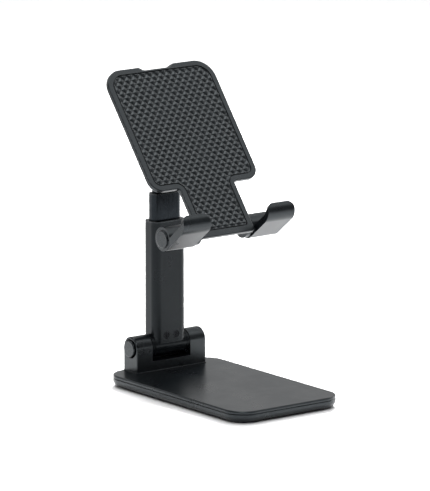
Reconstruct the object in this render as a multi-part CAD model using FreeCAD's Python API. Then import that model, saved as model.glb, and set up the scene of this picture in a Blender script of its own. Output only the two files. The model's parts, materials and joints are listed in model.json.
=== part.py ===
"""Folding desk phone stand: weighted base, telescopic post, tilting T-shaped plate, two fold-out hooks.

Millimetres. +Z is up, +X is the user's right and -Y faces the user. The origin is the centre of the
face that the stand rests on. The plate and the hooks are drawn upright, parallel to the post, about
the tilt axis, and are then leaned back to the angle at which the stand is used.
"""

import FreeCAD, Part
import math
import os

from FreeCAD import Vector

# ---- base ----
BASE_WIDTH = 71.0
BASE_LENGTH = 120.0
BASE_CORNER_R = 12.0
BASE_TOP_Z = 6.8
SEAM_Z = 4.9            # parting line between cover and tray
TRAY_BOTTOM_Z = 0.5     # the rubber pad stands proud of the tray by this much
TRAY_EDGE_R = 3.2       # rounded lower edge of the tray
COVER_EDGE_R = 0.8
SEAM_BEVEL = 0.3        # each side of the parting line, which leaves a fine groove
SHELL_WALL = 1.8
COVER_ROOF = 1.7
PAD_TOP_Z = 0.9         # roof of the recess that the rubber pad sits in
PAD_INSET = 5.0
TRAY_FLOOR_Z = 2.1
BALLAST_TOP_Z = 5.0
BOSS_R = 2.8
BOSS_X = 27.5
BOSS_Y = 50.0
TRAY_SCREW_R = 1.0
TRAY_SCREW_HEAD_R = 2.0

# ---- hinge at the back of the base ----
HINGE_Y = BASE_LENGTH / 2 - 7.1
HINGE_Z = BASE_TOP_Z + 12.8
BLOCK_WIDTH = 46.4
BLOCK_FRONT = 6.4       # depth of the block's foot in front of the hinge axis
BLOCK_BACK = 6.1
EAR_R = 6.2
EAR_CENTRE_Z = HINGE_Z + 0.3
EAR_GAP = 25.5          # clear width between the two ears
BLOCK_FLOOR_Z = BASE_TOP_Z + 5.5
BLOCK_WALL = 1.1        # wall behind the hinge barrel, up to just under its roundness
BLOCK_WALL_TOP_Z = HINGE_Z - 4.2
BLOCK_EDGE_R = 0.7
BEAD = 0.45             # width and height of the fine bead round the block's foot
BEAD_EDGE_R = 0.3
AXLE_R = 2.5
AXLE_FIT = 0.05
CAP_R = 4.7
CAP_POCKET_R = 5.3
CAP_POCKET_DEPTH = 4.6
CAP_PROUD = 1.2
FOOT_HALF = 12.0        # half length of the post's hinge barrel
FOOT_GROOVE = 0.35      # depth and width of the grooves near its ends
BLOCK_SCREW_X = 17.6
BLOCK_SCREW_R = 1.5
BLOCK_SCREW_HEAD_R = 2.9

# ---- telescopic post: outer, middle and inner tube, all with round corners ----
OUTER = (21.4, 12.0, 4.0)       # width, depth and corner radius of each section
MIDDLE = (18.6, 8.0, 3.4)
INNER = (15.6, 5.0, 2.2)
SLIDE_GAP = 0.3         # gap on each side between two tubes
BUSH_GAP = 0.1          # gap on each side between a tube and its guide bush
MIDDLE_WALL = 1.2
INNER_WALL = 1.0
OUTER_TOP_Z = 88.8
MIDDLE_BOTTOM_Z = 60.0
MIDDLE_TOP_Z = 103.8
INNER_BOTTOM_Z = 86.0
FOOT_SPIGOT_TOP_Z = 38.0
FOOT_SCREW_X = 3.3
FOOT_SCREW_Z = BASE_TOP_Z + 18.7
RIM = 0.8               # thickness of a bush's visible rim
BUSH_DEPTH = 7.0
BUSH_SEAT = 0.5         # how far a bush is let into the wall of its tube
WAIST = 0.4             # how far a stop ring is let into the wall of its tube
STOP_HEIGHT = 4.0

# ---- tilt joint at the top of the post ----
TILT_Z = 146.4
TILT_R = 6.0
TILT_PIN_R = 2.0
PIN_FIT = 0.05
HEAD_HALF = 11.0
HEAD_NECK_Z = 129.0
HEAD_NECK = (18.6, 8.2, 3.4)
INNER_TOP_Z = 137.0
EAR_IN, EAR_OUT = 12.1, 21.6    # plate ears, measured from the middle
TILT_PIN_HALF = 19.6
LEAN = 38.3             # degrees from upright at rest

# ---- plate, drawn about the tilt axis ----
PLATE_WIDTH = 71.5
PLATE_LENGTH = 104.9
TONGUE_WIDTH = 36.2
TONGUE_LENGTH = 30.6
PLATE_THICK = 3.0
FRONT = -9.8            # front face, measured from the tilt axis
FOOT = -80.2            # lower edge of the tongue, measured from the tilt axis
TOP = FOOT + PLATE_LENGTH
TOP_R, LOWER_R, TONGUE_R, INNER_R = 11.0, 7.2, 1.6, 2.0
NOTCH_HALF = 11.1       # finger scoop in the top edge, deeper at the front than at the back
NOTCH_DEPTH = 2.4
NOTCH_SLOPE = 1.7
RIM_WIDTH = 3.1
TONGUE_RIM = 0.6        # extra rim under the pad at the foot of the tongue
PAD_GROOVE = 0.35
PAD_DEPTH = 1.1
PAD_PROUD = 0.25

# ---- fold-out hooks ----
HOOK_V = FOOT + 6.0     # hook axis, up the plate and across its thickness from the tilt axis
HOOK_N = FRONT + 7.0
HOOK_R = 6.5
HOOK_IN, HOOK_OUT = 18.6, 37.2
HOOK_FLOOR = 4.1        # thickness of the ledge that the phone stands on
HOOK_THICK = 2.5        # thickness of the lip in front of the phone
HOOK_REACH = 15.3       # from the plate's front face to the outside of the lip
HOOK_TIP_RISE = 1.9     # tip above the hook axis
HOOK_BEND_R = 6.4
HOOK_INNER_R = 3.0
HOOK_TIP_R = 4.8
HOOK_TAPER = 2.0        # how much narrower the lip is at its tip, on the side towards the plate
KNUCKLE_IN, KNUCKLE_OUT = 15.3, 18.1
KNUCKLE_R = 5.9
HOOK_PIN_R = 1.6
HOOK_PIN_OUT = 33.5

TILT = Vector(0, HINGE_Y, TILT_Z)
X_AXIS = Vector(1, 0, 0)
Y_AXIS = Vector(0, 1, 0)
Z_AXIS = Vector(0, 0, 1)


# ---- shapes used more than once ----

def box(x0, x1, y0, y1, z0, z1):
    return Part.makeBox(x1 - x0, y1 - y0, z1 - z0, Vector(x0, y0, z0))


def slab(width, length, corner_r, z0, z1, centre_y=0.0):
    """A rectangle in plan with round corners, from z0 up to z1."""
    solid = box(-width / 2, width / 2, centre_y - length / 2, centre_y + length / 2, z0, z1)
    upright = [e for e in solid.Edges if abs(e.tangentAt(e.FirstParameter).z) > 0.9]
    return solid.makeFillet(corner_r, upright)


def grown(section, by):
    """A post section made larger all round, or smaller where by is negative."""
    width, depth, corner_r = section
    return (width + 2 * by, depth + 2 * by, corner_r + by)


def bar(section, z0, z1):
    """An upright bar of a post section, on the post's line."""
    width, depth, corner_r = section
    return slab(width, depth, corner_r, z0, z1, HINGE_Y)


def across(radius, x0, x1, y=0.0, z=0.0):
    """A round bar along X."""
    return Part.makeCylinder(radius, x1 - x0, Vector(x0, y, z), X_AXIS)


def ring(outer_r, inner_r, x0, x1, y=0.0, z=0.0):
    return across(outer_r, x0, x1, y, z).cut(across(inner_r, x0 - 1, x1 + 1, y, z))


def mirrored(shape):
    return shape.mirror(Vector(0, 0, 0), X_AXIS)


def both_sides(shape):
    return Part.makeCompound([shape, mirrored(shape)])


def rounded_outline(corners):
    """A closed wire in the XZ plane through (x, z, radius) corners, each rounded by an arc."""
    points = [Vector(x, 0, z) for x, z, _ in corners]
    count = len(points)
    spans = []
    for i, corner in enumerate(corners):
        here = points[i]
        back = (points[i - 1] - here).normalize()
        ahead = (points[(i + 1) % count] - here).normalize()
        half = back.getAngle(ahead) / 2
        reach = corner[2] / math.tan(half)
        middle = (back + ahead).normalize()
        centre = here + middle * (corner[2] / math.sin(half))
        spans.append((here + back * reach, centre - middle * corner[2], here + ahead * reach))
    edges = []
    for i, (start, crown, end) in enumerate(spans):
        edges.append(Part.Arc(start, crown, end).toShape())
        edges.append(Part.LineSegment(end, spans[(i + 1) % count][0]).toShape())
    return Part.Wire(edges)


def t_outline(inset, foot_inset):
    """The plate's T, drawn in by inset all round, and by foot_inset at the foot of the tongue."""
    half, tongue = PLATE_WIDTH / 2 - inset, TONGUE_WIDTH / 2 - inset
    foot, shoulder, top = FOOT + foot_inset, FOOT + TONGUE_LENGTH + inset, TOP - inset
    top_r, lower_r, tongue_r = (max(r - inset, 1.6) for r in (TOP_R, LOWER_R, TONGUE_R))
    right = [
        (tongue, foot, tongue_r),
        (tongue, shoulder, INNER_R + inset),
        (half, shoulder, lower_r),
        (half, top, top_r),
    ]
    left = [(-x, z, r) for x, z, r in reversed(right)]
    return rounded_outline(right + left)


def t_slab(inset, foot_inset, y0, y1):
    wire = t_outline(inset, foot_inset)
    wire.translate(Vector(0, y0, 0))
    return Part.Face(wire).extrude(Vector(0, y1 - y0, 0))


def screw(head_r, head_height, shank_r, length, at, direction):
    """A pan-head screw whose head's underside is at a point, with a cross recess in the head."""
    down = Vector(direction)
    head = Part.makeCylinder(head_r, head_height, at - down * head_height, down)
    shank = Part.makeCylinder(shank_r, length, at, down)
    body = head.fuse(shank).removeSplitter()
    side = down.cross(X_AXIS if abs(down.x) < 0.5 else Y_AXIS)
    other = down.cross(side)
    top = at - down * head_height
    for a, b in ((side, other), (other, side)):
        corner = top - a * (head_r * 0.6) - b * (head_r * 0.14) - down * 0.1
        face = Part.Face(Part.makePolygon([
            corner,
            corner + a * (head_r * 1.2),
            corner + a * (head_r * 1.2) + b * (head_r * 0.28),
            corner + b * (head_r * 0.28),
            corner,
        ]))
        body = body.cut(face.extrude(down * (head_height * 0.55 + 0.1)))
    return body


def lean_back(shape):
    """Take a shape drawn upright about the tilt axis to its place on the post."""
    placed = shape.copy()
    placed.rotate(Vector(0, 0, 0), X_AXIS, -LEAN)
    placed.translate(TILT)
    return placed


# ---- base ----

def boss_places():
    return [(sx * BOSS_X, sy * BOSS_Y) for sx in (-1, 1) for sy in (-1, 1)]


def block_screw_places():
    return [(-BLOCK_SCREW_X, HINGE_Y), (BLOCK_SCREW_X, HINGE_Y)]


def base_cover():
    shell = slab(BASE_WIDTH, BASE_LENGTH, BASE_CORNER_R, SEAM_Z, BASE_TOP_Z)
    rim = [e for e in shell.Edges if e.BoundBox.ZMin > BASE_TOP_Z - 0.01]
    shell = shell.makeFillet(COVER_EDGE_R, rim)
    seam = [e for e in shell.Edges if e.BoundBox.ZMax < SEAM_Z + 0.01]
    shell = shell.makeChamfer(SEAM_BEVEL, seam)
    inner_r = BASE_CORNER_R - SHELL_WALL
    shell = shell.cut(slab(BASE_WIDTH - 2 * SHELL_WALL, BASE_LENGTH - 2 * SHELL_WALL, inner_r,
                           SEAM_Z - 1, BASE_TOP_Z - COVER_ROOF))
    for x, y in boss_places():
        boss = Part.makeCylinder(BOSS_R, BASE_TOP_Z - COVER_ROOF - TRAY_FLOOR_Z, Vector(x, y, TRAY_FLOOR_Z))
        shell = shell.fuse(boss)
    for x, y in boss_places():
        shell = shell.cut(Part.makeCylinder(TRAY_SCREW_R, 3.6, Vector(x, y, TRAY_FLOOR_Z - 1)))
    for x, y in block_screw_places():
        shell = shell.cut(Part.makeCylinder(BLOCK_SCREW_R, 4, Vector(x, y, BASE_TOP_Z - 3)))
    return shell.removeSplitter()


def base_tray():
    tray = slab(BASE_WIDTH, BASE_LENGTH, BASE_CORNER_R, TRAY_BOTTOM_Z, SEAM_Z)
    lower = [e for e in tray.Edges if e.BoundBox.ZMax < TRAY_BOTTOM_Z + 0.01]
    tray = tray.makeFillet(TRAY_EDGE_R, lower)
    seam = [e for e in tray.Edges if e.BoundBox.ZMin > SEAM_Z - 0.01]
    tray = tray.makeChamfer(SEAM_BEVEL, seam)
    inner_r = BASE_CORNER_R - SHELL_WALL
    tray = tray.cut(slab(BASE_WIDTH - 2 * SHELL_WALL, BASE_LENGTH - 2 * SHELL_WALL, inner_r,
                         TRAY_FLOOR_Z, SEAM_Z + 1))
    tray = tray.cut(slab(BASE_WIDTH - 2 * PAD_INSET, BASE_LENGTH - 2 * PAD_INSET,
                         BASE_CORNER_R - PAD_INSET, TRAY_BOTTOM_Z - 1, PAD_TOP_Z))
    for x, y in boss_places():
        tray = tray.cut(Part.makeCylinder(TRAY_SCREW_R, 4, Vector(x, y, 0)))
        tray = tray.cut(Part.makeCylinder(TRAY_SCREW_HEAD_R + 0.2, 0.7, Vector(x, y, PAD_TOP_Z)))
    return tray


def ballast_plate():
    gap = SHELL_WALL + 0.4
    plate = slab(BASE_WIDTH - 2 * gap, BASE_LENGTH - 2 * gap, BASE_CORNER_R - gap,
                 TRAY_FLOOR_Z, BALLAST_TOP_Z)
    for x, y in boss_places():
        plate = plate.cut(Part.makeCylinder(BOSS_R + 0.3, 8, Vector(x, y, 0)))
    for x, y in block_screw_places():
        plate = plate.cut(Part.makeCylinder(BLOCK_SCREW_HEAD_R + 0.4, 8, Vector(x, y, 0)))
    return plate


def anti_slip_pad():
    inset = PAD_INSET + 0.1
    pad = slab(BASE_WIDTH - 2 * inset, BASE_LENGTH - 2 * inset, BASE_CORNER_R - inset, 0, PAD_TOP_Z)
    lower = [e for e in pad.Edges if e.BoundBox.ZMax < 0.01]
    return pad.makeFillet(0.3, lower)


def tray_screws():
    return Part.makeCompound([
        screw(TRAY_SCREW_HEAD_R, 0.6, TRAY_SCREW_R - 0.05, 2.8, Vector(x, y, PAD_TOP_Z + 0.7), Z_AXIS)
        for x, y in boss_places()
    ])


# ---- hinge ----

def ear_profile(x0, x1):
    """A block that is wide at its foot and half round at its top, seen along X."""
    foot_z = BASE_TOP_Z
    side = math.atan2(BLOCK_FRONT - EAR_R, EAR_CENTRE_Z - foot_z)
    rise, run = EAR_R * math.sin(side), EAR_R * math.cos(side)
    front_foot = Vector(x0, HINGE_Y - BLOCK_FRONT, foot_z)
    front_top = Vector(x0, HINGE_Y - run, EAR_CENTRE_Z + rise)
    crown = Vector(x0, HINGE_Y, EAR_CENTRE_Z + EAR_R)
    back_top = Vector(x0, HINGE_Y + EAR_R, EAR_CENTRE_Z)
    back_foot = Vector(x0, HINGE_Y + BLOCK_BACK, foot_z)
    wire = Part.Wire([
        Part.LineSegment(front_foot, front_top).toShape(),
        Part.Arc(front_top, crown, back_top).toShape(),
        Part.LineSegment(back_top, back_foot).toShape(),
        Part.LineSegment(back_foot, front_foot).toShape(),
    ])
    return Part.Face(wire).extrude(Vector(x1 - x0, 0, 0))


def hinge_block():
    half = BLOCK_WIDTH / 2
    block = ear_profile(-half, half)
    ends = [e for e in block.Edges if abs(abs(e.BoundBox.XMin) - half) < 0.01
            and abs(e.BoundBox.XMax - e.BoundBox.XMin) < 0.01 and e.BoundBox.ZMax > BASE_TOP_Z + 0.1]
    block = block.makeFillet(BLOCK_EDGE_R, ends)
    bead = slab(BLOCK_WIDTH + 2 * BEAD, BLOCK_FRONT + BLOCK_BACK + 2 * BEAD, BLOCK_EDGE_R + BEAD,
                BASE_TOP_Z, BASE_TOP_Z + BEAD, HINGE_Y + (BLOCK_BACK - BLOCK_FRONT) / 2)
    crest = [e for e in bead.Edges if e.BoundBox.ZMin > BASE_TOP_Z + BEAD - 0.01]
    block = block.fuse(bead.makeFillet(BEAD_EDGE_R, crest)).removeSplitter()
    depth = BLOCK_FRONT + 2
    wall_y = HINGE_Y + BLOCK_BACK - BLOCK_WALL
    gap = box(-EAR_GAP / 2, EAR_GAP / 2, HINGE_Y - depth, wall_y, BLOCK_FLOOR_Z, HINGE_Z + 20)
    over_wall = box(-EAR_GAP / 2, EAR_GAP / 2, wall_y, HINGE_Y + depth, BLOCK_WALL_TOP_Z, HINGE_Z + 20)
    block = block.cut([gap, over_wall])
    block = block.cut(across(AXLE_R + 0.02, -half - 1, half + 1, HINGE_Y, HINGE_Z))
    for x in (-half, half - CAP_POCKET_DEPTH):
        block = block.cut(across(CAP_POCKET_R, x, x + CAP_POCKET_DEPTH, HINGE_Y, HINGE_Z))
    for x, y in block_screw_places():
        block = block.cut(Part.makeCylinder(BLOCK_SCREW_R, 5.0, Vector(x, y, BASE_TOP_Z)))
    return block


def hinge_block_screws():
    under = BASE_TOP_Z - COVER_ROOF
    return Part.makeCompound([
        screw(BLOCK_SCREW_HEAD_R, 1.4, BLOCK_SCREW_R - 0.05, 6.0, Vector(x, y, under), Z_AXIS)
        for x, y in block_screw_places()
    ])


def hinge_axle():
    """The pivot pin: its head is in the left ear's pocket and its nut is in the right one's."""
    floor = BLOCK_WIDTH / 2 - CAP_POCKET_DEPTH
    shaft = across(AXLE_R, -floor, floor + 3.2, HINGE_Y, HINGE_Z)
    head = across(4.2, -floor - 1.6, -floor, HINGE_Y, HINGE_Z)
    return shaft.fuse(head).removeSplitter()


def hinge_disc_springs():
    """Two dished washers under the nut, which press the foot between the ears."""
    start = BLOCK_WIDTH / 2 - CAP_POCKET_DEPTH
    springs = []
    for n in range(2):
        x = start + 0.5 * n
        springs.append(ring(4.4, AXLE_R + 0.1, x, x + 0.45, HINGE_Y, HINGE_Z))
    return Part.makeCompound(springs)


def hinge_nut():
    start = BLOCK_WIDTH / 2 - CAP_POCKET_DEPTH + 1.0
    corners = [
        Vector(start, HINGE_Y + 4.3 * math.cos(math.radians(a)), HINGE_Z + 4.3 * math.sin(math.radians(a)))
        for a in range(0, 361, 60)
    ]
    nut = Part.Face(Part.makePolygon(corners)).extrude(Vector(1.8, 0, 0))
    return nut.cut(across(AXLE_R, start - 1, start + 4, HINGE_Y, HINGE_Z))


def hinge_washers():
    return both_sides(ring(EAR_R - 0.4, AXLE_R + AXLE_FIT, FOOT_HALF + 0.3, EAR_GAP / 2, HINGE_Y, HINGE_Z))


def hinge_cap_right():
    """A push-in cap: a disc with a rounded rim, and a short skirt round the nut."""
    start = BLOCK_WIDTH / 2 - 1.2
    end = BLOCK_WIDTH / 2 + CAP_PROUD
    cap = across(CAP_R, start, end, HINGE_Y, HINGE_Z)
    rim = [e for e in cap.Edges if e.BoundBox.XMin > end - 0.01]
    return cap.makeFillet(0.6, rim)


# ---- post ----

def hinge_barrel(radius, half):
    return across(radius, -half, half, HINGE_Y, HINGE_Z)


def post_foot():
    """The hinge barrel, grooved near its ends, and the spigot inside the outer tube."""
    foot = hinge_barrel(EAR_R, FOOT_HALF)
    for x in (FOOT_HALF - 1.3, FOOT_HALF - 0.6):
        groove = ring(EAR_R + 1, EAR_R - FOOT_GROOVE, x - FOOT_GROOVE, x, HINGE_Y, HINGE_Z)
        foot = foot.cut([groove, mirrored(groove)])
    foot = foot.fuse(bar(grown(MIDDLE, SLIDE_GAP), HINGE_Z, FOOT_SPIGOT_TOP_Z)).removeSplitter()
    foot = foot.cut(hinge_barrel(AXLE_R + AXLE_FIT, 20))
    for x in (-FOOT_SCREW_X, FOOT_SCREW_X):
        pilot = Part.makeCylinder(1.0, 7.0, Vector(x, HINGE_Y - OUTER[1] / 2, FOOT_SCREW_Z), Y_AXIS)
        foot = foot.cut(pilot)
    return foot


def outer_tube():
    """The lowest tube: its foot is hollowed out to sit on the hinge barrel."""
    tube = bar(OUTER, HINGE_Z + 0.5, OUTER_TOP_Z - RIM)
    tube = tube.cut(bar(grown(MIDDLE, SLIDE_GAP), HINGE_Z, OUTER_TOP_Z))
    tube = tube.cut(bar(grown(MIDDLE, SLIDE_GAP + BUSH_SEAT), OUTER_TOP_Z - RIM - BUSH_DEPTH, OUTER_TOP_Z))
    tube = tube.cut(hinge_barrel(EAR_R, 20))
    for x in (-FOOT_SCREW_X, FOOT_SCREW_X):
        at = Vector(x, HINGE_Y - OUTER[1] / 2 - 1, FOOT_SCREW_Z)
        tube = tube.cut(Part.makeCylinder(1.0, 4.0, at, Y_AXIS))
        tube = tube.cut(Part.makeCylinder(2.0, 1.9, at, Y_AXIS))
    return tube


def foot_screws():
    under = HINGE_Y - OUTER[1] / 2 + 0.9
    return Part.makeCompound([
        screw(1.8, 0.7, 0.95, 4.6, Vector(x, under, FOOT_SCREW_Z), Y_AXIS)
        for x in (-FOOT_SCREW_X, FOOT_SCREW_X)
    ])


def guide_bush(sliding, seat, rim, top):
    """A sleeve sunk in the mouth of one tube, with a rim over its end, that guides the next tube."""
    collar = bar(rim, top - RIM, top)
    edge = [e for e in collar.Edges if e.BoundBox.ZMin > top - 0.01]
    collar = collar.makeFillet(0.35, edge)
    sleeve = bar(seat, top - RIM - BUSH_DEPTH, top - RIM)
    bush = collar.fuse(sleeve).removeSplitter()
    return bush.cut(bar(grown(sliding, BUSH_GAP), top - 20, top + 1))


def outer_bush():
    return guide_bush(MIDDLE, grown(MIDDLE, SLIDE_GAP + BUSH_SEAT), OUTER, OUTER_TOP_Z)


def sliding_tube(section, wall, bottom, top):
    """A tube with a waist at its foot for the stop ring."""
    tube = bar(section, bottom, top)
    waist = bar(grown(section, 1), bottom - 1, bottom + STOP_HEIGHT)
    tube = tube.cut(waist.cut(bar(grown(section, -WAIST), bottom - 2, bottom + STOP_HEIGHT + 1)))
    return tube.cut(bar(grown(section, -wall), bottom - 1, top + 1))


def stop_ring(section, bottom):
    """A ring on the waist of a sliding tube, which meets the bush when the tube is drawn right out."""
    outer = bar(grown(section, SLIDE_GAP - BUSH_GAP), bottom, bottom + STOP_HEIGHT)
    return outer.cut(bar(grown(section, -WAIST), bottom - 1, bottom + STOP_HEIGHT + 1))


def middle_tube():
    top = MIDDLE_TOP_Z - RIM
    tube = sliding_tube(MIDDLE, MIDDLE_WALL, MIDDLE_BOTTOM_Z, top)
    return tube.cut(bar(grown(MIDDLE, BUSH_SEAT - MIDDLE_WALL), top - BUSH_DEPTH, top + 1))


def middle_bush():
    return guide_bush(INNER, grown(MIDDLE, BUSH_SEAT - MIDDLE_WALL), MIDDLE, MIDDLE_TOP_Z)


def inner_tube():
    tube = sliding_tube(INNER, INNER_WALL, INNER_BOTTOM_Z, INNER_TOP_Z)
    return tube.cut(head_screw_hole(0.95))


# ---- tilt joint ----

def neck_back(depth):
    """A point on the line of the head's screw, sunk by depth from the back of the neck."""
    return Vector(0, HINGE_Y + HEAD_NECK[1] / 2 - depth, HEAD_NECK_Z + 4)


def head_screw_hole(radius):
    return Part.makeCylinder(radius, 5.2, neck_back(0), Vector(0, -1, 0))


def tilt_head():
    """The barrel that the plate tilts on, with a neck that takes the inner tube."""
    barrel = across(TILT_R, -HEAD_HALF, HEAD_HALF, HINGE_Y, TILT_Z)
    edges = [e for e in barrel.Edges if abs(e.BoundBox.XMax - e.BoundBox.XMin) < 0.01]
    barrel = barrel.makeFillet(0.5, edges)
    neck = bar(HEAD_NECK, HEAD_NECK_Z, TILT_Z)
    edge = [e for e in neck.Edges if e.BoundBox.ZMax < HEAD_NECK_Z + 0.01]
    neck = neck.makeFillet(0.6, edge)
    head = barrel.fuse(neck).removeSplitter()
    head = head.cut(bar(INNER, HEAD_NECK_Z - 1, INNER_TOP_Z))
    head = head.cut(across(TILT_PIN_R + PIN_FIT, -20, 20, HINGE_Y, TILT_Z))
    head = head.cut(head_screw_hole(0.95))
    return head.cut(Part.makeCylinder(1.9, 1.0, neck_back(-0.2), Vector(0, -1, 0)))


def head_screw():
    return screw(1.7, 0.6, 0.9, 3.4, neck_back(0.8), Vector(0, -1, 0))


def tilt_pin():
    return across(TILT_PIN_R, -TILT_PIN_HALF, TILT_PIN_HALF, HINGE_Y, TILT_Z)


def tilt_washers():
    return both_sides(ring(4.6, TILT_PIN_R + PIN_FIT, HEAD_HALF + 0.3, EAR_IN))


def tilt_cap_right():
    cap = across(TILT_R, EAR_OUT, EAR_OUT + 1.4)
    rim = [e for e in cap.Edges if e.BoundBox.XMin > EAR_OUT + 1.39]
    return cap.makeFillet(1.0, rim).fuse(across(1.6, EAR_OUT - 1.6, EAR_OUT)).removeSplitter()


# ---- plate ----

def plate_ear(x0, x1):
    """An ear round the tilt axis that spreads into the back of the plate."""
    back = FRONT + PLATE_THICK
    low, high = -15.0, 13.0
    reach = []
    for z in (low, high):
        far = math.hypot(back, z)
        bearing = math.atan2(z, back)
        turn = math.acos(TILT_R / far)
        angle = bearing - turn if z > 0 else bearing + turn
        reach.append(Vector(x0, TILT_R * math.cos(angle), TILT_R * math.sin(angle)))
    foot = Vector(x0, back - 0.5, low)
    crest = Vector(x0, back - 0.5, high)
    wire = Part.Wire([
        Part.LineSegment(foot, Vector(x0, back, low)).toShape(),
        Part.LineSegment(Vector(x0, back, low), reach[0]).toShape(),
        Part.Arc(reach[0], Vector(x0, TILT_R, 0), reach[1]).toShape(),
        Part.LineSegment(reach[1], Vector(x0, back, high)).toShape(),
        Part.LineSegment(Vector(x0, back, high), crest).toShape(),
        Part.LineSegment(crest, foot).toShape(),
    ])
    return Part.Face(wire).extrude(Vector(x1 - x0, 0, 0))


def plate_knuckle():
    """A knuckle behind the foot of the tongue, at the side of the room for the folded post."""
    barrel = across(KNUCKLE_R, KNUCKLE_IN, KNUCKLE_OUT, HOOK_N, HOOK_V)
    top = HOOK_V + KNUCKLE_R
    web = box(KNUCKLE_IN, KNUCKLE_OUT, FRONT + 1.5, HOOK_N + 1.5, HOOK_V, top)
    return barrel.fuse(web)


def finger_scoop():
    """What the scoop takes from the top edge: a shallow trapezium that rises towards the back."""
    low, high = NOTCH_HALF - 2.2, NOTCH_HALF + 0.8
    ledge = TOP - NOTCH_DEPTH
    wire = rounded_outline([
        (-high, TOP, 1.0),
        (-low, ledge, 4.0),
        (low, ledge, 4.0),
        (high, TOP, 1.0),
        (high + 1, TOP + 4, 0.5),
        (-high - 1, TOP + 4, 0.5),
    ])
    slope = NOTCH_SLOPE / PLATE_THICK
    reach = PLATE_THICK + 2
    wire.translate(Vector(0, FRONT - 1, -slope))
    return Part.Face(wire).extrude(Vector(0, reach, reach * slope))


def back_plate():
    back = FRONT + PLATE_THICK
    plate = t_slab(0.0, 0.0, FRONT, back)
    front_edges = [e for e in plate.Edges if e.BoundBox.YMax < FRONT + 0.01]
    plate = plate.makeFillet(0.5, front_edges)
    back_edges = [e for e in plate.Edges if e.BoundBox.YMin > back - 0.01]
    plate = plate.makeFillet(1.0, back_edges)
    plate = plate.cut(finger_scoop())
    ear, knuckle = plate_ear(EAR_IN, EAR_OUT), plate_knuckle()
    plate = plate.fuse([ear, mirrored(ear), knuckle, mirrored(knuckle)]).removeSplitter()
    plate = plate.cut(t_slab(RIM_WIDTH, RIM_WIDTH + TONGUE_RIM, FRONT - 1, FRONT + PAD_DEPTH))
    tilt_bore = across(TILT_PIN_R + PIN_FIT, EAR_IN - 1, EAR_OUT + 1)
    hook_bore = across(HOOK_PIN_R + PIN_FIT, KNUCKLE_IN - 1, KNUCKLE_OUT + 1, HOOK_N, HOOK_V)
    return plate.cut([tilt_bore, mirrored(tilt_bore), hook_bore, mirrored(hook_bore)])


def grip_pad():
    inset = RIM_WIDTH + PAD_GROOVE
    pad = t_slab(inset, inset + TONGUE_RIM, FRONT - PAD_PROUD, FRONT + PAD_DEPTH)
    front_edges = [e for e in pad.Edges if e.BoundBox.YMax < FRONT - PAD_PROUD + 0.01]
    return pad.makeFillet(0.2, front_edges)


# ---- hooks ----

def hook_right():
    """A barrel with a ledge that runs forward from its underside and ends in an upturned lip."""
    under = HOOK_V - HOOK_R
    lip = FRONT - HOOK_REACH
    ledge = under + HOOK_FLOOR
    tip = HOOK_V + HOOK_TIP_RISE
    outline = rounded_outline([
        (HOOK_N, under, 0.01),
        (HOOK_N, ledge, 0.01),
        (lip + HOOK_THICK, ledge, HOOK_INNER_R),
        (lip + HOOK_THICK, tip, 0.8),
        (lip, tip, 0.8),
        (lip, under, HOOK_BEND_R),
    ])
    outline.rotate(Vector(0, 0, 0), Z_AXIS, 90)
    outline.translate(Vector(HOOK_IN, 0, 0))
    width = HOOK_OUT - HOOK_IN
    jay = Part.Face(outline).extrude(Vector(width, 0, 0))
    front_view = rounded_outline([
        (HOOK_IN, under - 1, 0.01),
        (HOOK_OUT, under - 1, 0.01),
        (HOOK_OUT, tip, HOOK_TIP_R),
        (HOOK_IN + HOOK_TAPER, tip, HOOK_TIP_R),
    ])
    front_view.translate(Vector(0, lip - 1, 0))
    jay = jay.common(Part.Face(front_view).extrude(Vector(0, HOOK_N - lip + 1, 0)))
    barrel = across(HOOK_R, HOOK_IN, HOOK_OUT, HOOK_N, HOOK_V)
    hook = barrel.fuse(jay).removeSplitter()
    hook = hook.cut(across(HOOK_PIN_R + PIN_FIT, HOOK_IN - 1, HOOK_PIN_OUT + 0.3, HOOK_N, HOOK_V))
    return hook.cut(across(HOOK_R - 1.6, HOOK_OUT - 1.0, HOOK_OUT + 1, HOOK_N, HOOK_V))


def hook_cap_right():
    end = HOOK_OUT + 0.8
    cap = across(HOOK_R - 1.6, HOOK_OUT - 1.0, end, HOOK_N, HOOK_V)
    rim = [e for e in cap.Edges if e.BoundBox.XMin > end - 0.01]
    return cap.makeFillet(0.5, rim)


def hook_pin_right():
    return across(HOOK_PIN_R, KNUCKLE_IN + 0.2, HOOK_PIN_OUT, HOOK_N, HOOK_V)


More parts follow.
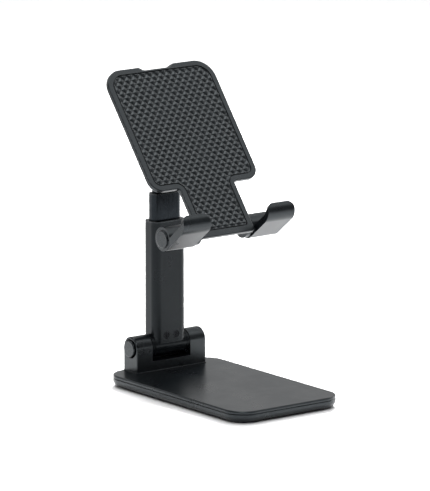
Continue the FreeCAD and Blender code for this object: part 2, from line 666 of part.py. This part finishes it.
NODES = {
    "base_cover": base_cover(),
    "base_tray": base_tray(),
    "ballast_plate": ballast_plate(),
    "anti_slip_pad": anti_slip_pad(),
    "tray_screws": tray_screws(),
    "hinge_block": hinge_block(),
    "hinge_block_screws": hinge_block_screws(),
    "hinge_axle": hinge_axle(),
    "hinge_disc_springs": hinge_disc_springs(),
    "hinge_nut": hinge_nut(),
    "hinge_washers": hinge_washers(),
    "hinge_cap_right": hinge_cap_right(),
    "hinge_cap_left": mirrored(hinge_cap_right()),
    "post_foot": post_foot(),
    "outer_tube": outer_tube(),
    "foot_screws": foot_screws(),
    "outer_bush": outer_bush(),
    "middle_tube": middle_tube(),
    "middle_stop": stop_ring(MIDDLE, MIDDLE_BOTTOM_Z),
    "middle_bush": middle_bush(),
    "inner_tube": inner_tube(),
    "inner_stop": stop_ring(INNER, INNER_BOTTOM_Z),
    "tilt_head": tilt_head(),
    "head_screw": head_screw(),
    "tilt_pin": tilt_pin(),
    "tilt_washers": lean_back(tilt_washers()),
    "tilt_cap_right": lean_back(tilt_cap_right()),
    "tilt_cap_left": lean_back(mirrored(tilt_cap_right())),
    "back_plate": lean_back(back_plate()),
    "grip_pad": lean_back(grip_pad()),
    "hook_pin_right": lean_back(hook_pin_right()),
    "hook_pin_left": lean_back(mirrored(hook_pin_right())),
    "hook_right": lean_back(hook_right()),
    "hook_left": lean_back(mirrored(hook_right())),
    "hook_cap_right": lean_back(hook_cap_right()),
    "hook_cap_left": lean_back(mirrored(hook_cap_right())),
}

os.makedirs("parts", exist_ok=True)
for name, shape in NODES.items():
    shape.exportStep(f"parts/{name}.step")
    print(f"{name:22s} solids {len(shape.Solids)}  valid {shape.isValid()}  {shape.Volume:9.1f} mm3")
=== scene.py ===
import json
import math

import bmesh
import bpy
import numpy as np
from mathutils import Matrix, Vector
from mathutils.geometry import delaunay_2d_cdt

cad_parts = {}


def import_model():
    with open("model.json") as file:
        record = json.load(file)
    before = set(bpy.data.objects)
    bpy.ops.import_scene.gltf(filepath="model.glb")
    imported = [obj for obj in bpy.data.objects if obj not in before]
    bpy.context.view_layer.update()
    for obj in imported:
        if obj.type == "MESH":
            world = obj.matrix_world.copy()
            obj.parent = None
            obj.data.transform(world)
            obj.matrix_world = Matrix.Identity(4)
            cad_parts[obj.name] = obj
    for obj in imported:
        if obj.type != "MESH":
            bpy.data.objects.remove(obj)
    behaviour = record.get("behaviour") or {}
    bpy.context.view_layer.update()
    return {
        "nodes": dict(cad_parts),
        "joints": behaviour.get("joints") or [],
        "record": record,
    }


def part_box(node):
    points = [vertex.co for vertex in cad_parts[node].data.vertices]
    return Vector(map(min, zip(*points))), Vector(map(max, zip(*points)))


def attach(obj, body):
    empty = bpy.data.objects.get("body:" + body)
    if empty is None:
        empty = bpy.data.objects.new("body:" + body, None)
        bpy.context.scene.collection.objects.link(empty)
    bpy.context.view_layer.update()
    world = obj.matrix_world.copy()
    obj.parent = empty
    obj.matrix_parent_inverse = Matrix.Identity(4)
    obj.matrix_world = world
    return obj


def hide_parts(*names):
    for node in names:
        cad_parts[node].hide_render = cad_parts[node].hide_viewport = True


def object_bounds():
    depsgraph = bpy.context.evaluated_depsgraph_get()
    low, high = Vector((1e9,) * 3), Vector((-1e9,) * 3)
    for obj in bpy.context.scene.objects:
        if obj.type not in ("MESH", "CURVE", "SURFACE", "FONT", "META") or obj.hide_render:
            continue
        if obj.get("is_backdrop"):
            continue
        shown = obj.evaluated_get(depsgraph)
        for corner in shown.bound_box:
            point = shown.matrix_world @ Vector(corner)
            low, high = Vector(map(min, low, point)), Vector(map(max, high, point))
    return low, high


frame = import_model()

MM = 0.001

# ---- where things are in the frame ----
JOINTS = {joint["name"]: joint for joint in frame["joints"]}
FOLD_AXIS = Vector(JOINTS["post_fold"]["pos_m"])
TILT_AXIS = Vector(JOINTS["plate_tilt"]["pos_m"])
LEAN = math.radians(JOINTS["plate_stow"]["range_deg"][1])
SLOT_OF = {part["node"]: part["material_slot"] for part in frame["record"]["subparts"]}

# The plate's own directions: up along it, and out of its front face.
PLATE_UP = Vector((0, math.sin(LEAN), math.cos(LEAN)))
PLATE_OUT = Vector((0, -math.cos(LEAN), math.sin(LEAN)))

# ---- grip pad, in mm on the plate: x across from the middle, v up from the tilt axis ----
PAD_HALF = 32.05
PAD_TONGUE_HALF = 14.4
PAD_FOOT, PAD_SHOULDER, PAD_TOP = -75.9, -45.9, 21.0
PAD_TOP_R, PAD_LOWER_R, PAD_TONGUE_R, PAD_INNER_R = 7.55, 3.75, 1.6, 5.45
PAD_FRONT = 10.05           # crest of the relief, out from the tilt axis
PAD_BACK = 8.72
RELIEF_DEPTH = 0.62         # crest to groove
BORDER_DROP = 0.3           # how far the pad's edge lies below the crests
BORDER_WIDTH = 0.5
STUD_RIGHT = (2.34, 2.56)   # one stud to the next, up to the right and up to the left
STUD_LEFT = (-2.11, 2.56)
STUD_STEPS = 6              # mesh steps along a stud's side
STUD_GAIN = 1.12            # steepness of a stud's sides, which leaves its crest a little flat
STUD_SINK = 0.04            # share of the height that makes way for a flat groove between studs
STUD_CURVE = 0.9            # below 1 the sides bulge, above 1 they are hollow
ARC_STEP = 0.45             # longest edge along the pad's outline
ARC_LEAST_STEPS = 4
SHARP_DEG = 24              # edges that turn by more than this are shaded sharp
KEEP_INSIDE = 1             # the triangulation's mode that drops what is outside the outline
SAME_POINT = 1e-6           # points closer than this are one


def rounded_loop(corners):
    """Points round a closed outline of (x, v, radius) corners, each rounded by an arc."""
    loop = []
    count = len(corners)
    for i, (x, v, radius) in enumerate(corners):
        here = Vector((x, v))
        back = (Vector(corners[i - 1][:2]) - here).normalized()
        ahead = (Vector(corners[(i + 1) % count][:2]) - here).normalized()
        half = back.angle(ahead) / 2
        start = here + back * (radius / math.tan(half))
        centre = here + (back + ahead).normalized() * (radius / math.sin(half))
        sweep = math.pi - 2 * half
        turn = sweep if back.x * ahead.y - back.y * ahead.x < 0 else -sweep
        steps = max(ARC_LEAST_STEPS, math.ceil(radius * sweep / ARC_STEP))
        spoke = start - centre
        for k in range(steps + 1):
            angle = turn * k / steps
            cos, sin = math.cos(angle), math.sin(angle)
            turned = Vector((spoke.x * cos - spoke.y * sin, spoke.x * sin + spoke.y * cos))
            loop.append(centre + turned)
    return loop


def evenly_split(loop, step):
    """The same outline with its long edges split into short ones."""
    out = []
    for a, b in zip(loop, loop[1:] + loop[:1]):
        parts = max(1, round((b - a).length / step))
        out += [a.lerp(b, k / parts) for k in range(parts)]
    return out


def pad_outline():
    """The T-shaped outline of the pad."""
    right = [
        (PAD_TONGUE_HALF, PAD_FOOT, PAD_TONGUE_R),
        (PAD_TONGUE_HALF, PAD_SHOULDER, PAD_INNER_R),
        (PAD_HALF, PAD_SHOULDER, PAD_LOWER_R),
        (PAD_HALF, PAD_TOP, PAD_TOP_R),
    ]
    left = [(-x, v, r) for x, v, r in reversed(right)]
    return evenly_split(rounded_loop(right + left), ARC_STEP)


def inside_and_distance(points, loop):
    """For each point, whether it is inside the loop, and how far it is from its nearest edge."""
    a = np.array(loop)
    b = np.roll(a, -1, axis=0)
    inside = np.zeros(len(points), bool)
    nearest = np.full(len(points), np.inf)
    x, v = points[:, 0], points[:, 1]
    for (ax, av), (bx, bv) in zip(a, b):
        crosses = (av > v) != (bv > v)
        if av != bv:
            inside ^= crosses & (x < ax + (v - av) * (bx - ax) / (bv - av))
        edge = np.array((bx - ax, bv - av))
        length2 = max(edge @ edge, SAME_POINT ** 2)
        along = np.clip(((x - ax) * edge[0] + (v - av) * edge[1]) / length2, 0, 1)
        gap = np.hypot(x - ax - along * edge[0], v - av - along * edge[1])
        nearest = np.minimum(nearest, gap)
    return inside, nearest


def stud_height(points):
    """Height of the relief from 0 in a groove to 1 on a stud's crest."""
    basis = np.array((STUD_RIGHT, STUD_LEFT)).T
    cell = np.linalg.solve(basis, points.T)
    off_centre = np.abs(cell - np.floor(cell) - 0.5) * 2
    slope = 1 - off_centre.max(axis=0)
    return np.clip(slope * STUD_GAIN - STUD_SINK, 0, 1) ** STUD_CURVE


def on_plate(x, v, out):
    """A place on the plate, from millimetres across, up and out of it, in the row frame."""
    return TILT_AXIS + (Vector((x, 0, 0)) + PLATE_UP * v + PLATE_OUT * out) * MM


def lattice_points(loop):
    """Mesh points inside the outline that follow the studs' own lattice, so their crests stay crisp."""
    basis = np.array((STUD_RIGHT, STUD_LEFT)).T
    reach = int(2 * max(PAD_HALF, -PAD_FOOT) / STUD_RIGHT[1])
    ticks = np.arange(-reach * STUD_STEPS, reach * STUD_STEPS + 1) / STUD_STEPS
    grid = np.stack(np.meshgrid(ticks, ticks), axis=-1).reshape(-1, 2) @ basis.T
    in_reach = (np.abs(grid[:, 0]) < PAD_HALF) & (grid[:, 1] > PAD_FOOT) & (grid[:, 1] < PAD_TOP)
    grid = grid[in_reach]
    inside, gap = inside_and_distance(grid, loop)
    return grid[inside & (gap > ARC_STEP / 2)]


def relief():
    """The pad's front: its points, how far each lies below the crests, and its triangles."""
    loop = pad_outline()
    points = loop + [Vector(p) for p in lattice_points(loop)]
    border = [(i, (i + 1) % len(loop)) for i in range(len(loop))]
    flat, _, faces, *_ = delaunay_2d_cdt(points, border, [], KEEP_INSIDE, SAME_POINT)
    flat = np.array([tuple(p) for p in flat])
    _, gap = inside_and_distance(flat, loop)
    fade = np.clip(gap / BORDER_WIDTH, 0, 1)
    fade = fade * fade * (3 - 2 * fade)
    drop = (1 - stud_height(flat)) * RELIEF_DEPTH * fade + BORDER_DROP * (1 - fade)
    return flat, drop, faces


def grip_pad():
    """The silicone pad: a slab whose front is a lattice of small pyramids that ends in a plain rim."""
    flat, drop, faces = relief()
    bm = bmesh.new()
    front = [bm.verts.new(on_plate(x, v, PAD_FRONT - d)) for (x, v), d in zip(flat, drop)]
    for face in faces:
        bm.faces.new([front[i] for i in face])
    rim_edges = [e for e in bm.edges if len(e.link_faces) == 1]
    walls = bmesh.ops.extrude_edge_only(bm, edges=rim_edges)["geom"]
    for vert in (g for g in walls if isinstance(g, bmesh.types.BMVert)):
        out = (vert.co - TILT_AXIS).dot(PLATE_OUT)
        vert.co += PLATE_OUT * (PAD_BACK * MM - out)
    back_edges = [g for g in walls if isinstance(g, bmesh.types.BMEdge)]
    bmesh.ops.edgeloop_fill(bm, edges=back_edges)
    bmesh.ops.recalc_face_normals(bm, faces=bm.faces)
    pad = finished_piece("grip_pad_relief", bm)
    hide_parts("grip_pad")
    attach(pad, "plate")
    return pad


def finished_piece(name, bm):
    """An object from a bmesh, shaded smooth but for its sharp edges."""
    mesh = bpy.data.meshes.new(name)
    bm.to_mesh(mesh)
    bm.free()
    mesh.shade_smooth()
    mesh.set_sharp_from_angle(angle=math.radians(SHARP_DEG))
    piece = bpy.data.objects.new(name, mesh)
    bpy.context.scene.collection.objects.link(piece)
    return piece


# ---- materials: sizes and depths in mm ----
MIX_FIRST, MIX_SECOND, MIX_RESULT = 6, 7, 2    # colour sockets of a Mix node, after its other kinds

EDGE_RADIUS = 0.35
EDGE_SAMPLES = 6
EDGE_COSINE = 0.86          # where a rounded normal turns this far from the true one, the lighter edge colour (wear and painted highlight) is full
EDGE_WEAR_AND_HIGHLIGHT = 0.35            # share of the lighter edge colour on an edge, partly wear and partly painted highlight

SMUDGE_SIZE = 14.0
SMUDGE_SPREAD = (0.35, 0.65)        # noise values where a smudge starts and ends
SMUDGE_GLOSS = (0.92, 1.1)          # from the glossiest patch to the dullest, times the finish's roughness
SPECK_GRAINS = 6                    # how many grains wide a speck of colour is
TONE_SPREAD = (0.75, 1.25)          # the same for a smudge and a speck added up
DARKER, LIGHTER = 0.82, 1.16
RIPPLE_SIZE, RIPPLE_DEPTH = 7.0, 0.008
PLASTIC_IOR = 1.5
PLASTIC_TINT = (0.86, 0.95, 1.0, 1)

FILM_SIZE = 5.0
FILM_SPREAD = (0.4, 0.8)
FILM_SHADE = 0.6
LINE_SIZE = 0.25
LINE_SPREAD = (0.3, 0.7)
LINE_GLOSS = (0.8, 1.25)            # times the finish's roughness

NO_STRETCH = (1, 1, 1)
ALONG_POST = (1, 1, 0.06)           # draws the noise out into lines that run up the tubes
BLACK = (0.0030, 0.0040, 0.0052)
# lighter colour for edges: part scuffing, part painted edge highlight
SCUFF_AND_HIGHLIGHT = (0.02, 0.022, 0.024)

# each finish's second colour lightens its edges: part wear, part painted edge highlight
MOULDED = {
    "shell_black": dict(colour=BLACK, worn_and_highlight=SCUFF_AND_HIGHLIGHT, roughness=0.29, grain=0.22, depth=0.002),
    "post_black": dict(colour=BLACK, worn_and_highlight=SCUFF_AND_HIGHLIGHT, roughness=0.29, grain=0.2, depth=0.002, gloss=0.24),
    "pad_silicone": dict(
        colour=(0.0055, 0.0066, 0.0078), worn_and_highlight=SCUFF_AND_HIGHLIGHT, roughness=0.36, grain=0.16, depth=0.005),
    "foot_rubber": dict(
        colour=(0.010, 0.0103, 0.0106), worn_and_highlight=(0.02, 0.02, 0.02), roughness=0.78, grain=0.3, depth=0.03),
    "bush_acetal": dict(
        colour=(0.008, 0.009, 0.010), worn_and_highlight=(0.05, 0.052, 0.054), roughness=0.24, grain=0.25, depth=0.002),
    "washer_nylon": dict(
        colour=(0.012, 0.012, 0.013), worn_and_highlight=(0.04, 0.04, 0.042), roughness=0.40, grain=0.25, depth=0.004),
}
METALS = {
    "steel": dict(colour=(0.55, 0.56, 0.57), roughness=0.28),
    "black_steel": dict(colour=(0.016, 0.017, 0.019), roughness=0.34),
    "ballast_steel": dict(colour=(0.34, 0.34, 0.35), roughness=0.42, tarnish=0.6),
    "tube_metal": dict(colour=(0.022, 0.026, 0.030), roughness=0.30, stretch=ALONG_POST, depth=0.002),
}


class Graph:
    """A material's node graph, with short calls for the nodes that the finishes share."""

    def __init__(self, name):
        self.material = bpy.data.materials.new(name)
        self.material.use_nodes = True
        self.tree = self.material.node_tree
        self.shader = self.tree.nodes["Principled BSDF"]
        coordinates = self.tree.nodes.new("ShaderNodeTexCoord")
        self.place = coordinates.outputs["Object"]

    def link(self, a, b):
        self.tree.links.new(a, b)

    def noise(self, size_mm, detail, stretch=NO_STRETCH):
        """Noise between 0 and 1 whose features are about this many millimetres across."""
        node = self.tree.nodes.new("ShaderNodeTexNoise")
        node.inputs["Scale"].default_value = 1 / (size_mm * MM)
        node.inputs["Detail"].default_value = detail
        mapping = self.tree.nodes.new("ShaderNodeMapping")
        mapping.inputs["Scale"].default_value = stretch
        self.link(self.place, mapping.inputs["Vector"])
        self.link(mapping.outputs["Vector"], node.inputs["Vector"])
        return node.outputs["Fac"]

    def cells(self, size_mm):
        """Distance to the nearest cell centre, for moulded grain."""
        node = self.tree.nodes.new("ShaderNodeTexVoronoi")
        node.inputs["Scale"].default_value = 1 / (size_mm * MM)
        self.link(self.place, node.inputs["Vector"])
        return node.outputs["Distance"]

    def span(self, value, old, new):
        """The value, brought from its old span to a new one and held inside it."""
        return brought_to_span(self.tree, value, old, new)

    def blend(self, share, first, second):
        """A colour between two, each a colour or another node's output."""
        node = self.tree.nodes.new("ShaderNodeMix")
        node.data_type = "RGBA"
        self.link(share, node.inputs["Factor"])
        for socket, colour in ((node.inputs[MIX_FIRST], first), (node.inputs[MIX_SECOND], second)):
            if isinstance(colour, tuple):
                socket.default_value = (*colour, 1)
            else:
                self.link(colour, socket)
        return node.outputs[MIX_RESULT]

    def sum(self, first, second):
        node = self.tree.nodes.new("ShaderNodeMath")
        node.operation = "ADD"
        self.link(first, node.inputs[0])
        self.link(second, node.inputs[1])
        return node.outputs[0]

    def edges(self):
        """1 on sharp edges and 0 on faces, from how far a rounded normal turns from the true one."""
        bevel = self.tree.nodes.new("ShaderNodeBevel")
        bevel.samples = EDGE_SAMPLES
        bevel.inputs["Radius"].default_value = EDGE_RADIUS * MM
        true_normal = self.tree.nodes.new("ShaderNodeNewGeometry")
        dot = self.tree.nodes.new("ShaderNodeVectorMath")
        dot.operation = "DOT_PRODUCT"
        self.link(bevel.outputs["Normal"], dot.inputs[0])
        self.link(true_normal.outputs["Normal"], dot.inputs[1])
        return self.span(dot.outputs["Value"], (1, EDGE_COSINE), (0, 1))

    def bump(self, height, depth_mm, under=None):
        node = self.tree.nodes.new("ShaderNodeBump")
        node.inputs["Distance"].default_value = depth_mm * MM
        node.inputs["Strength"].default_value = 1
        self.link(height, node.inputs["Height"])
        if under:
            self.link(under, node.inputs["Normal"])
        return node.outputs["Normal"]

    def to_shader(self, name, value):
        self.link(value, self.shader.inputs[name])

    def fixed(self, **numbers):
        for name, number in numbers.items():
            self.shader.inputs[name.replace("_", " ")].default_value = number


def brought_to_span(tree, value, old, new):
    """A Map Range node from one span of values to another."""
    node = tree.nodes.new("ShaderNodeMapRange")
    names = ("From Min", "From Max", "To Min", "To Max")
    for name, number in zip(names, (*old, *new)):
        node.inputs[name].default_value = number
    tree.links.new(value, node.inputs["Value"])
    return node.outputs["Result"]


def scaled(numbers, by):
    return tuple(number * by for number in numbers)


def moulded(name, colour, worn_and_highlight, roughness, grain, depth, gloss=0.5):
    """Moulded plastic or rubber: fine grain, faint smudges, and lighter edges, partly wear from handling
    and partly painted highlight.
    """
    g = Graph(name)
    smudges = g.noise(SMUDGE_SIZE, detail=4)
    specks = g.noise(grain * SPECK_GRAINS, detail=2)
    tone = g.span(g.sum(smudges, specks), TONE_SPREAD, (0, 1))
    body = g.blend(tone, scaled(colour, DARKER), scaled(colour, LIGHTER))
    # lighter colour on sharp edges: part wear, part painted highlight along them
    wear_and_highlight = g.span(g.edges(), (0, 1), (0, EDGE_WEAR_AND_HIGHLIGHT))
    ripple = g.bump(g.noise(RIPPLE_SIZE, detail=2), RIPPLE_DEPTH)
    g.to_shader("Base Color", g.blend(wear_and_highlight, body, worn_and_highlight))
    g.to_shader("Roughness", g.span(smudges, SMUDGE_SPREAD, scaled(SMUDGE_GLOSS, roughness)))
    g.to_shader("Normal", g.bump(g.cells(grain), depth, under=ripple))
    g.fixed(IOR=PLASTIC_IOR, Specular_IOR_Level=gloss, Specular_Tint=PLASTIC_TINT)
    return g.material


def metal(name, colour, roughness, stretch=NO_STRETCH, tarnish=0.3, depth=0.006):
    """Turned or drawn metal: fine lines in its surface, and a duller film in patches."""
    g = Graph(name)
    film = g.span(g.noise(FILM_SIZE, detail=4), FILM_SPREAD, (0, tarnish))
    lines = g.noise(LINE_SIZE, detail=3, stretch=stretch)
    g.to_shader("Base Color", g.blend(film, colour, scaled(colour, FILM_SHADE)))
    g.to_shader("Roughness", g.span(lines, LINE_SPREAD, scaled(LINE_GLOSS, roughness)))
    g.to_shader("Normal", g.bump(lines, depth))
    g.fixed(Metallic=1.0)
    return g.material


def finishes():
    """One finish for each material slot in the record."""
    finish = {name: moulded(name, **look) for name, look in MOULDED.items()}
    finish.update({name: metal(name, **look) for name, look in METALS.items()})
    return finish


def dress(pieces):
    """Give every shown piece the finish of its slot."""
    finish = finishes()
    for node, piece in frame["nodes"].items():
        set_finish(piece, finish[SLOT_OF[node]])
    for piece, slot in pieces:
        set_finish(piece, finish[slot])


def set_finish(piece, material):
    piece.data.materials.clear()
    piece.data.materials.append(material)


# ---- studio: lengths in metres ----
CAMERA_AZIMUTH = math.radians(37.12)    # to the left of the base's front
CAMERA_ELEVATION = math.radians(11.87)
CAMERA_DISTANCE = 3.251
CAMERA_LENS = 439.9
CAMERA_CLIP = (0.1, 50)
AIM_ABOVE_BASE = 0.0546     # on the post's line, over the top of the base
AIM_RIGHT, AIM_UP = 0.0273, 0.0121      # from there, in the picture's own directions

FLOOR_HALF = 6.0
FLOOR_SQUARES = 24
FLOOR_GAP = 0.00005         # between the floor and the rubber foot
FLOOR_TONE_SIZE = 40.0      # mm
FLOOR_SPREAD = (0.3, 0.7)
FLOOR_ROUGHNESS = (0.75, 0.85)
PAPER, PALE_PAPER = (0.86, 0.86, 0.865), (0.9, 0.9, 0.905)
PAPER_GLOSS = 0.2

ROOM_TOWARDS = (math.sin(CAMERA_AZIMUTH), math.cos(CAMERA_AZIMUTH), 0.25)
ROOM_SPREAD = (-0.5, 0.6)   # along that direction, from the dim side to the bright one
ROOM_LIGHT = (0.06, 0.62)


def camera():
    """A long lens at the product shot's angle, aimed beside the post."""
    cos, sin = math.cos(CAMERA_AZIMUTH), math.sin(CAMERA_AZIMUTH)
    level = math.cos(CAMERA_ELEVATION)
    ahead = Vector((sin * level, cos * level, -math.sin(CAMERA_ELEVATION)))
    right = Vector((cos, -sin, 0))
    up = right.cross(ahead)
    base_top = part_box("base_cover")[1].z
    aim = Vector((0, FOLD_AXIS.y, base_top + AIM_ABOVE_BASE)) + right * AIM_RIGHT + up * AIM_UP
    data = bpy.data.cameras.new("camera")
    data.lens = CAMERA_LENS
    data.clip_start, data.clip_end = CAMERA_CLIP
    eye = bpy.data.objects.new("camera", data)
    bpy.context.scene.collection.objects.link(eye)
    eye.location = aim - ahead * CAMERA_DISTANCE
    eye.rotation_euler = facing(ahead)
    bpy.context.scene.camera = eye


def facing(direction):
    """The rotation that points a camera or lamp along a direction, upright."""
    return direction.to_track_quat("-Z", "Y").to_euler()


def softbox(name, place, aim, size, watts, reflected=True):
    """A soft rectangular lamp, which glossy surfaces show only if it is reflected."""
    data = bpy.data.lights.new(name, "AREA")
    data.shape = "RECTANGLE"
    data.size, data.size_y = size
    data.energy = watts
    lamp = bpy.data.objects.new(name, data)
    bpy.context.scene.collection.objects.link(lamp)
    lamp.visible_glossy = reflected
    lamp.location = place
    lamp.rotation_euler = facing(Vector(aim) - Vector(place))
    lamp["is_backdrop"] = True


def floor():
    """A pale sweep that the stand stands on, a hair below its rubber foot."""
    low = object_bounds()[0].z
    bm = bmesh.new()
    bmesh.ops.create_grid(bm, x_segments=FLOOR_SQUARES, y_segments=FLOOR_SQUARES, size=FLOOR_HALF)
    for vert in bm.verts:
        vert.co.z = low - FLOOR_GAP
    mesh = bpy.data.meshes.new("floor")
    bm.to_mesh(mesh)
    bm.free()
    sweep = bpy.data.objects.new("floor", mesh)
    bpy.context.scene.collection.objects.link(sweep)
    g = Graph("floor_paper")
    tone = g.noise(FLOOR_TONE_SIZE, detail=3)
    g.to_shader("Base Color", g.blend(tone, PAPER, PALE_PAPER))
    g.to_shader("Roughness", g.span(tone, FLOOR_SPREAD, FLOOR_ROUGHNESS))
    g.fixed(Specular_IOR_Level=PAPER_GLOSS)
    set_finish(sweep, g.material)
    sweep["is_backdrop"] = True


def world():
    """A white room that is dimmer on the side that the camera stands on."""
    sky = bpy.data.worlds.new("room")
    sky.use_nodes = True
    bpy.context.scene.world = sky
    tree = sky.node_tree
    background = tree.nodes["Background"]
    background.inputs["Color"].default_value = (1, 1, 1, 1)
    where = tree.nodes.new("ShaderNodeTexCoord")
    dot = tree.nodes.new("ShaderNodeVectorMath")
    dot.operation = "DOT_PRODUCT"
    dot.inputs[1].default_value = ROOM_TOWARDS
    tree.links.new(where.outputs["Generated"], dot.inputs[0])
    strength = brought_to_span(tree, dot.outputs["Value"], ROOM_SPREAD, ROOM_LIGHT)
    tree.links.new(strength, background.inputs["Strength"])


def lamps():
    """Two lamps that whiten the floor unseen in glossy surfaces, and four that show in them."""
    softbox("floor_light", (0.45, 0.45, 0.6), (0.16, 0.08, 0), size=(0.3, 0.3), watts=12, reflected=False)
    softbox("back_light", (0.4, 1.2, 1.8), (0.3, 0.9, 0), size=(1.4, 1.4), watts=18, reflected=False)
    softbox("top_light", (0.1, 0.1, 1.3), (0, 0, 0.08), size=(0.9, 0.9), watts=8)
    softbox("key_light", (0.77, -0.45, 1.09), (0, 0.04, 0.17), size=(0.6, 0.6), watts=1.35)
    softbox("left_light", (-1.0, -1.0, 1.4), (0, 0, 0.1), size=(0.7, 0.7), watts=12)
    softbox("right_light", (1.2, 0.1, 0.5), (0, 0, 0.1), size=(0.3, 0.9), watts=3)


def studio():
    camera()
    world()
    floor()
    lamps()
    bpy.context.scene.view_settings.view_transform = "Standard"


pad = grip_pad()
dress([(pad, SLOT_OF["grip_pad"])])
studio()
